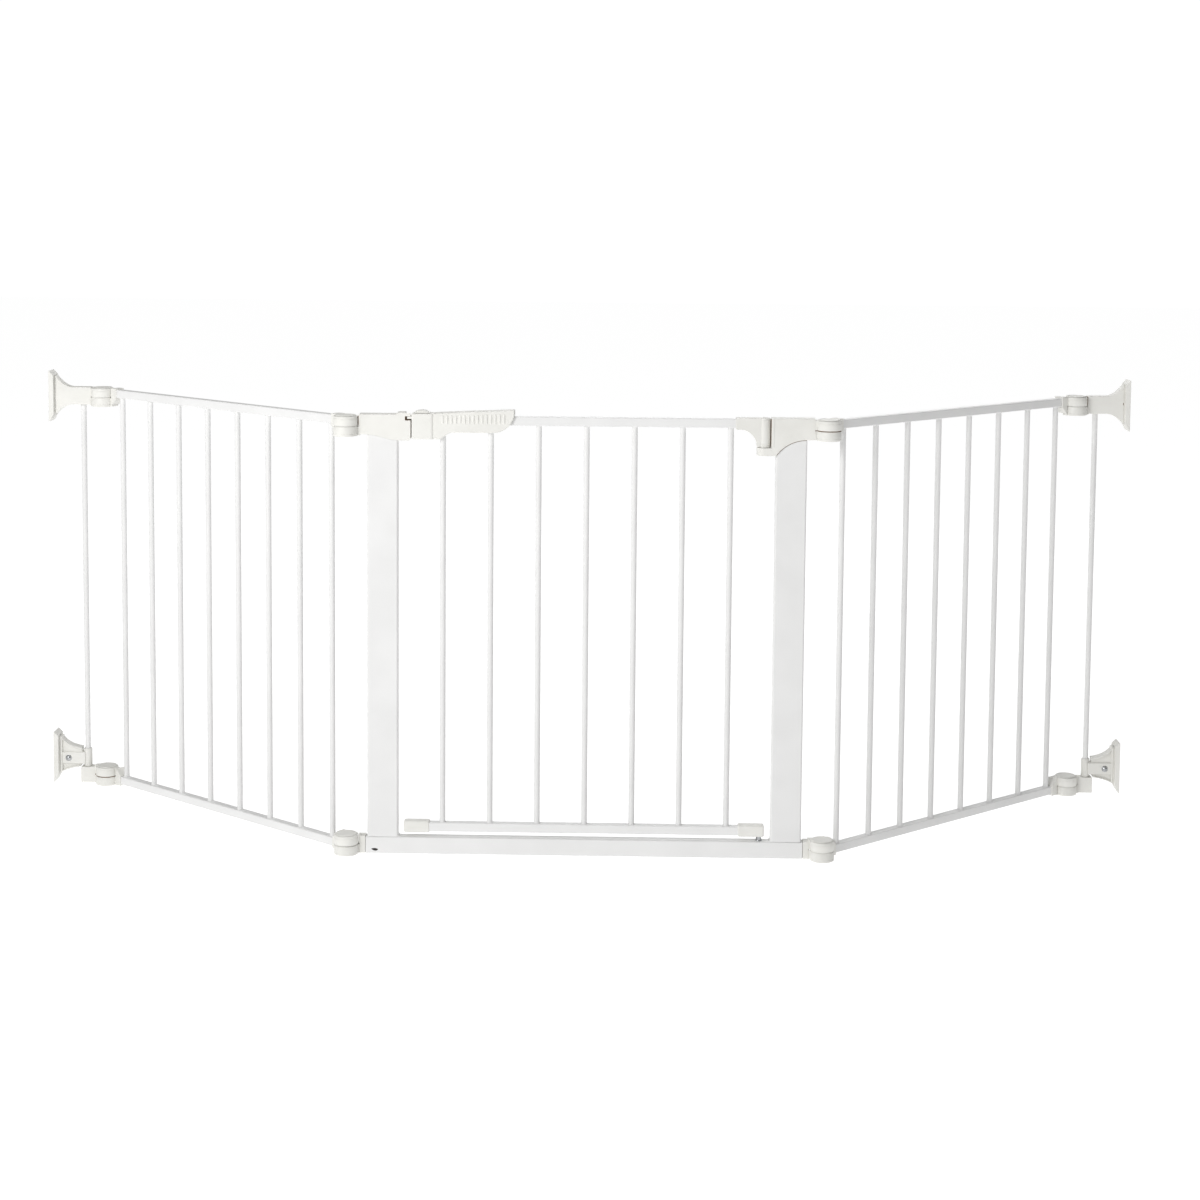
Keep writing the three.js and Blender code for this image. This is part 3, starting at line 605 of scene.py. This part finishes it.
def add_door_bracket():
    """The flag plate at the end of the door's top rail and the barrel that it turns on."""
    node = "door_hinge_bracket"
    plate_end, plate_foot = SWING_X - 3, 672.2
    points = [(plate_end, BRACKET_TOP), (239.3, BRACKET_TOP), (237.8, 716.9), (237.8, 701.1),
              (239, 699.6)]
    points += arc(244, plate_foot, 27.4, 90, 0, 20)
    points += [(plate_end, plate_foot)]
    bm = prism(points, -7.9, 7.9)
    add_piece(f"{node}_plate", bm, "door", "plastic", replaces=[node], bevel=0.9)
    r = 9.6
    barrel = [(0, 671.15), (r - 0.5, 671.15), (r, 671.6)]
    barrel += rim_groove(r, 674) + rim_groove(r, 676.6) + rim_groove(r, 714.2)
    barrel += [(r, 716.4), (r - 0.5, 717.6), (r - 1.8, BRACKET_TOP)]
    barrel += [(r - 4, 718.9), (0, 719)]
    add_piece(f"{node}_barrel", lathe(barrel, SWING_X, 0), "door", "plastic")


# ---------------------------------------------------------------- handle and latch

GRIP_RIBS = 15
GRIP_RIB_PITCH = 7.0
GRIP_MIDDLE = -181.0
HEAD_DEPTH = 14.5
GRIP_DEPTH = 12.5


def head_plan():
    """Plan of the latch head: tight corners at the keeper, a round shoulder at the grip."""
    x0, x1, tight, broad = -279.8, -243.8, 2.0, 6.0
    half = HEAD_DEPTH
    points = arc(x1 - broad, half - broad, broad, 0, 90, 10)
    points += arc(x0 + tight, half - tight, tight, 90, 180, 5)
    points += arc(x0 + tight, tight - half, tight, 180, 270, 5)
    return points + arc(x1 - broad, broad - half, broad, 270, 360, 10)


def grip_outline():
    points = [(-246, 720.2), (-240, 721.2)]
    points += curve([(-240, 721.2), (-180, 724.2), (-118, 726.9)], 6)
    points += curve([(-118, 726.9), (-115.5, 727), (-115.5, 724.5)], 6)
    points += curve([(-115.5, 719), (-119, 703), (-131, 691.5), (-148, 690.5)])
    points += [(-215, 690.5)]
    points += curve([(-215, 690.5), (-224, 690), (-228, 680.5), (-237, 679.6)])
    return points + [(-246, 679.6)]


def add_handle():
    """The latch head and the ribbed grip, which stand for both shells of the handle."""
    head = prism(head_plan(), 679.5, 720.5, axis="Z")
    add_piece("handle_head", head, "door", "plastic", bevel=1.4, segments=4,
              replaces=["handle_front_shell", "handle_back_shell"])
    grip = prism(grip_outline(), -GRIP_DEPTH, GRIP_DEPTH)
    add_piece("handle_grip", grip, "door", "plastic", bevel=3.0, segments=5)
    for name, face in (("handle_grip_ribs", -1), ("handle_grip_ribs_back", 1)):
        bm = bmesh.new()
        for i in range(GRIP_RIBS):
            x = GRIP_MIDDLE + (i - (GRIP_RIBS - 1) / 2) * GRIP_RIB_PITCH
            add_grip_rib(bm, x, 704.5, 717.4 + (x + 246) * 0.035, face)
        add_piece(name, bm, "door", "plastic")


def add_grip_rib(bm, x, z0, z1, face):
    """A soft upright ridge on the grip's front (face -1) or back (1), sunk in at both ends."""
    rows, steps = [], 12
    for i in range(steps + 1):
        t = i / steps
        rise = 1.6 * math.sin(math.pi * t) ** 0.35
        section = arc(0, 0, 1.0, 180, 360, 8)
        z = z0 + (z1 - z0) * t
        row = [(x + 2.0 * u, face * (GRIP_DEPTH - 0.35 - v * (rise + 0.3)), z) for u, v in section]
        rows.append([bm.verts.new(point) for point in row])
    for a, b in zip(rows, rows[1:]):
        for i in range(len(a) - 1):
            bm.faces.new((a[i], a[i + 1], b[i + 1], b[i]))
        bm.faces.new((a[-1], a[0], b[0], b[-1]))
    bm.faces.new(rows[0])
    bm.faces.new(rows[-1][::-1])


THUMB_X = -264.0
THUMB_TOP = 725.2


def add_latch():
    """The thumb slide, a ridged dome on the head, and the bolt that it draws back."""
    base = 720.9
    points = [(-277, base)] + curve([(-277, base), (-272, THUMB_TOP), (THUMB_X, THUMB_TOP)], 12)
    points += curve([(THUMB_X, THUMB_TOP), (-256, THUMB_TOP), (-250.8, base)], 12)
    bm = prism(points, -9, 9)
    add_piece("thumb_slide_dome", bm, "thumb_latch", "plastic", replaces=["thumb_slide"], bevel=0.6)
    bm = bmesh.new()
    for i in range(6):
        x = THUMB_X + (i - 2.5) * 2.7
        top = THUMB_TOP - 0.024 * (x - THUMB_X) ** 2
        block(x - 0.65, x + 0.65, -8.4, 8.4, top - 1.4, top + 0.55, bm=bm)
    add_piece("thumb_slide_ridges", bm, "thumb_latch", "plastic", bevel=0.4, segments=2)
    bolt = block(-287.4, -270.3, -10.2, 5.5, 711.5, 715.9)
    add_piece("latch_bolt_bar", bolt, "thumb_latch", "plastic", replaces=["latch_bolt"], bevel=0.7)


# ---------------------------------------------------------------- wall mounts

# Seen from the far hinge axis, with X towards the wall.
MOUTH = 84.6
HALF_DEPTH = 9.75
FRONT, BACK = SET_BACK - HALF_DEPTH, SET_BACK + HALF_DEPTH
ROD_X = 36.5
WALL_FACE = 95.0
PLATE_HALF = 17.5
PLATE_RIM = 3.0
PLATE_POCKET = 2.2
BOSS_INSET = 21.0


def core_out(bm, x):
    """Sinks the face that meets the wall, inside a rim, as moulded plates are cored out."""
    bmesh.ops.recalc_face_normals(bm, faces=bm.faces[:])
    back = [face for face in bm.faces if all(abs(v.co.x - x) < 1e-4 for v in face.verts)]
    bmesh.ops.inset_individual(bm, faces=back, thickness=PLATE_RIM, depth=0.0)
    bmesh.ops.inset_individual(bm, faces=back, thickness=0.3, depth=-PLATE_POCKET)


def facing_wall(profile, z, sides=32, closed=False):
    """A turned shape on the pocket's floor whose axis points at the wall."""
    bm = lathe(profile, sides=sides, closed=closed)
    bmesh.ops.transform(bm, matrix=Matrix.Rotation(math.radians(90), 4, "Y"), verts=bm.verts)
    bmesh.ops.translate(bm, vec=(WALL_FACE - PLATE_POCKET, SET_BACK, z), verts=bm.verts)
    return bm


def add_plate(side, level, wall_heights, inner_heights, body):
    node = f"{side}_{level}_wall_plate"
    place = MOUNT[side]
    (w0, w1), (i0, i1) = wall_heights, inner_heights
    points = [(WALL_FACE, w0), (WALL_FACE, w1), (93.6, w1 + 0.2), (86.3, i1), (86.3, i0),
              (93.6, w0 - 0.2)]
    bm = prism(points, SET_BACK - PLATE_HALF, SET_BACK + PLATE_HALF)
    core_out(bm, WALL_FACE)
    add_piece(f"{node}_slab", bm, body, "plastic", place, replaces=[node], bevel=1.0)
    middle = (w0 + w1) / 2
    bosses = (w0 + BOSS_INSET, w1 - BOSS_INSET)
    for label, z in zip(("lower", "upper"), bosses):
        ring = [(2.5, -0.1), (5.2, -0.1), (5.0, 2.0), (3.9, 2.0), (2.5, 1.0)]
        add_piece(f"{node}_boss_{label}", facing_wall(ring, z, closed=True), body, "plastic", place,
                  bevel=0.25)
        # Near-black discs in the bosses: painted shade of the screw holes.
        disc = [(0, -0.2), (2.7, -0.2), (2.7, 0.15), (0, 0.15)]
        add_piece(f"{node}_hole_shade_{label}", facing_wall(disc, z), body, "plastic", place,
                  material=RECESS_SHADE)
    low, high = WALL_FACE - PLATE_POCKET - 0.1, WALL_FACE - 0.3
    ribs = block(low, high, SET_BACK - 14.6, SET_BACK + 14.6, middle - 0.9, middle + 0.9)
    add_piece(f"{node}_rib_across", ribs, body, "plastic", place, bevel=0.4)
    upright = block(low, high - 0.1, SET_BACK - 0.9, SET_BACK + 0.9, bosses[0] + 4.8,
                    bosses[1] - 4.8)
    add_piece(f"{node}_rib_upright", upright, body, "plastic", place, bevel=0.4)


def add_heel(name, z0, z1, body, place):
    """The narrower heel in the shadow groove between a bracket and its plate."""
    bm = block(MOUTH - 1, 86.5, FRONT + 1.0, BACK - 1.0, z0 + 1.5, z1 - 1.5)
    add_piece(name, bm, body, "plastic", place)


TOP_PLATE, TOP_PLATE_INNER = (656, 746), (668.5, 738)
FOOT_PLATE, FOOT_PLATE_INNER = (3, 94), (17, 87)


def add_top_mount(side):
    node = f"{side}_top_wall_bracket"
    body, place = f"{side}_wall_mount", MOUNT[side]
    points = [(ARM_START, 717), (ARM_START, 686)]
    points += curve([(55, 686), (68, 685), (77, 677), (MOUTH, 669)], 18)
    points += curve([(MOUTH, 737.5), (77, 728), (68, 718.5), (55, 717)], 18)
    bm = prism(points, FRONT, BACK)
    add_piece(f"{node}_body", bm, body, "plastic", place, replaces=[node], bevel=1.1)
    add_knuckle(node, f"{side}_far", "top", "upper" if side == "left" else "lower", body, place,
                FRONT)
    add_heel(f"{node}_heel", 669, 737.5, body, place)
    if side == "right":
        # A dark brown spot on the front face: painted shade of the clip slot.
        clip = rounded_rectangle(83.3, 84.4, 702, 706, 0.5, 3)
        bm = prism(clip, FRONT - 0.06, FRONT + 1)
        add_piece(f"{node}_clip_slot_shade", bm, body, "plastic", place, material=GAP_SHADE)
    add_plate(side, "top", TOP_PLATE, TOP_PLATE_INNER, body)


def add_rod_and_block(side):
    body, place = f"{side}_wall_mount", MOUNT[side]
    foot, top = 10.4, 705.6
    profile = [(0, foot), (BAR_RADIUS, foot), (BAR_RADIUS, top), (0, top)]
    bm = lathe(profile, ROD_X, SET_BACK, 32)
    node = f"{side}_mounting_rod"
    add_piece(f"{node}_tube", bm, body, "powder_coat", place, replaces=[node])
    node = f"{side}_hinge_block"
    bm = block(ARM_START, 48, FRONT, BACK, 1, 29)
    add_piece(f"{node}_body", bm, body, "plastic", place, replaces=[node], bevel=1.3)
    add_knuckle(node, f"{side}_far", "bottom", "upper" if side == "left" else "lower", body, place,
                FRONT)


def gusset_curve(start, mouth_z, arm_z):
    x0, z0 = start
    inward = 1 if arm_z > z0 else -1
    return curve([(x0, z0), (MOUTH - 10, z0 - inward * 4), (MOUTH, mouth_z)], 16)


def add_gusset(node, label, start, mouth_z, arm_z, body, place):
    """A thin web with a full-width flange along its curved edge."""
    edge = gusset_curve(start, mouth_z, arm_z)
    inward = 1 if arm_z > start[1] else -1
    web = [(x, z + inward * 1.1) for x, z in edge]
    bm = prism(web + [(MOUTH, arm_z), (start[0], arm_z)], SET_BACK - 5.6, SET_BACK + 5.6)
    add_piece(f"{node}_{label}_web", bm, body, "plastic", place)
    inner = [(x, z + inward * 2.3) for x, z in edge]
    bm = prism(edge + inner[::-1], FRONT, BACK)
    add_piece(f"{node}_{label}_flange", bm, body, "plastic", place, bevel=0.8)


def add_foot(side):
    node = f"{side}_bottom_wall_bracket"
    body, place = f"{side}_foot", MOUNT[side]
    low, high = 34.5, 55.5
    arm = block(40, MOUTH - 3, 2, 19, low, high)
    add_piece(f"{node}_arm", arm, body, "plastic", place, replaces=[node], bevel=1.2)
    ring = [(5.1, 29.5), (6.6, 29.5), (7.3, 30.3), (7.3, 61.2), (6.6, 62), (5.1, 62)]
    bm = lathe(ring, ROD_X, SET_BACK, 40, closed=True)
    add_piece(f"{node}_sleeve", bm, body, "plastic", place)
    add_gusset(node, "upper", (46, 64), 86, high, body, place)
    add_gusset(node, "lower", (48.8, 29.6), 18, low, body, place)
    flange = block(MOUTH - 3.4, MOUTH, FRONT, BACK, 20, 84)
    add_piece(f"{node}_mouth", flange, body, "plastic", place, bevel=0.8)
    add_heel(f"{node}_heel", 19, 85, body, place)
    add_plate(side, "bottom", FOOT_PLATE, FOOT_PLATE_INNER, body)
    add_screw(side, body, place)


def add_screw(side, body, place):
    """The dome-headed clamp screw on the front of the bracket's arm."""
    dome = [(0, -1), (4.8, -1), (4.8, 0.6), (4.5, 1.6), (3.7, 2.6), (2.6, 3.3), (1.8, 3.55),
            (1.6, 2.2), (0, 2.2)]
    bm = lathe(dome, sides=32)
    lathe([(0, -0.5), (5.7, -0.5), (5.7, 0.1), (5.3, 0.25), (0, 0.25)], sides=32, bm=bm)
    turn = Matrix.Rotation(math.radians(90), 4, "X")
    bmesh.ops.transform(bm, matrix=turn, verts=bm.verts)
    bmesh.ops.translate(bm, vec=(70, 2, 45), verts=bm.verts)
    node = f"{side}_bracket_screw"
    add_piece(f"{node}_head", bm, body, "zinc", place, replaces=[node])


# ---------------------------------------------------------------- floor, light, camera


def add_floor():
    """A pale floor that glows a little, as a light table does, so that its shadows stay faint."""
    bm = bmesh.new()
    bmesh.ops.create_grid(bm, x_segments=1, y_segments=1, size=14)
    mesh = bpy.data.meshes.new("floor")
    bm.to_mesh(mesh)
    bm.free()
    floor = bpy.data.objects.new("floor", mesh)
    bpy.context.scene.collection.objects.link(floor)
    material, tree, shader = new_material("pale_floor")
    shader.inputs["Base Color"].default_value = (0.32, 0.32, 0.32, 1)
    shader.inputs["Roughness"].default_value = 0.9
    shader.inputs["Specular IOR Level"].default_value = 0.0
    shader.inputs["Emission Color"].default_value = (1, 1, 1, 1)
    shader.inputs["Emission Strength"].default_value = 0.93
    mesh.materials.append(material)
    floor.location.z = -0.0005


def add_area(name, location, target, size, power):
    light = bpy.data.lights.new(name, "AREA")
    light.shape = "RECTANGLE"
    light.size, light.size_y = size
    light.energy = power
    lamp = bpy.data.objects.new(name, light)
    lamp.location = location
    aim = Vector(target) - Vector(location)
    lamp.rotation_euler = aim.to_track_quat("-Z", "Y").to_euler()
    bpy.context.scene.collection.objects.link(lamp)


def add_lights():
    add_area("key_softbox", (-1.6, -2.2, 1.9), (-0.1, 0.1, 0.4), (1.5, 1.5), 57)
    add_area("back_softbox", (0.6, 3.0, 2.0), (0, 0.2, 0.4), (2.4, 1.6), 24)
    add_area("overhead_softbox", (0.1, 0.3, 3.0), (0, 0.2, 0.4), (2.4, 1.6), 21)


def add_world():
    """White surroundings: full strength behind the object, weak as a light on it."""
    world = bpy.data.worlds.new("studio")
    bpy.context.scene.world = world
    world.use_nodes = True
    tree = world.node_tree
    background = tree.nodes["Background"]
    background.inputs["Color"].default_value = (1, 1, 1, 1)
    rays = tree.nodes.new("ShaderNodeLightPath")
    strength = tree.nodes.new("ShaderNodeMapRange")
    strength.inputs["To Min"].default_value = 0.2
    strength.inputs["To Max"].default_value = 1.05
    tree.links.new(rays.outputs["Is Camera Ray"], strength.inputs["Value"])
    tree.links.new(strength.outputs["Result"], background.inputs["Strength"])


CAMERA_PLACE = (0.0862, -3.5229, 1.1278)
CAMERA_TURN, CAMERA_DIP, CAMERA_ROLL = 1.076, 5.18, 0.468


def add_camera():
    """Eye level a little above the gate, a few degrees down, with a low vertical shift."""
    data = bpy.data.cameras.new("camera")
    data.lens = 66.54
    data.sensor_width = 36
    data.shift_y = -0.2
    data.clip_end = 100
    camera = bpy.data.objects.new("camera", data)
    turn = Matrix.Rotation(math.radians(CAMERA_TURN), 4, "Z")
    tilt = Matrix.Rotation(math.radians(90 - CAMERA_DIP), 4, "X")
    roll = Matrix.Rotation(math.radians(CAMERA_ROLL), 4, "Z")
    camera.matrix_world = Matrix.Translation(CAMERA_PLACE) @ turn @ tilt @ roll
    bpy.context.scene.collection.objects.link(camera)
    bpy.context.scene.camera = camera


# ---------------------------------------------------------------- the whole gate

for node, cad in frame["nodes"].items():
    slot = next(s["material_slot"] for s in frame["record"]["subparts"] if s["node"] == node)
    cad.data.materials.clear()
    cad.data.materials.append(SLOT_MATERIAL[slot])
    cad.data.shade_smooth()
    cad.data.set_sharp_from_angle(angle=math.radians(35))

for side in SIDES:
    add_panel(side)
    add_top_mount(side)
    add_rod_and_block(side)
    add_foot(side)
add_posts()
add_base_rail()
add_base_knuckle("left", "lower")
add_base_knuckle("right", "upper")
add_latch_bracket()
add_hinge_bracket()
add_door()
add_door_pin()
add_door_bracket()
add_handle()
add_latch()
add_floor()
add_lights()
add_world()
add_camera()
bpy.context.scene.view_settings.view_transform = "Standard"
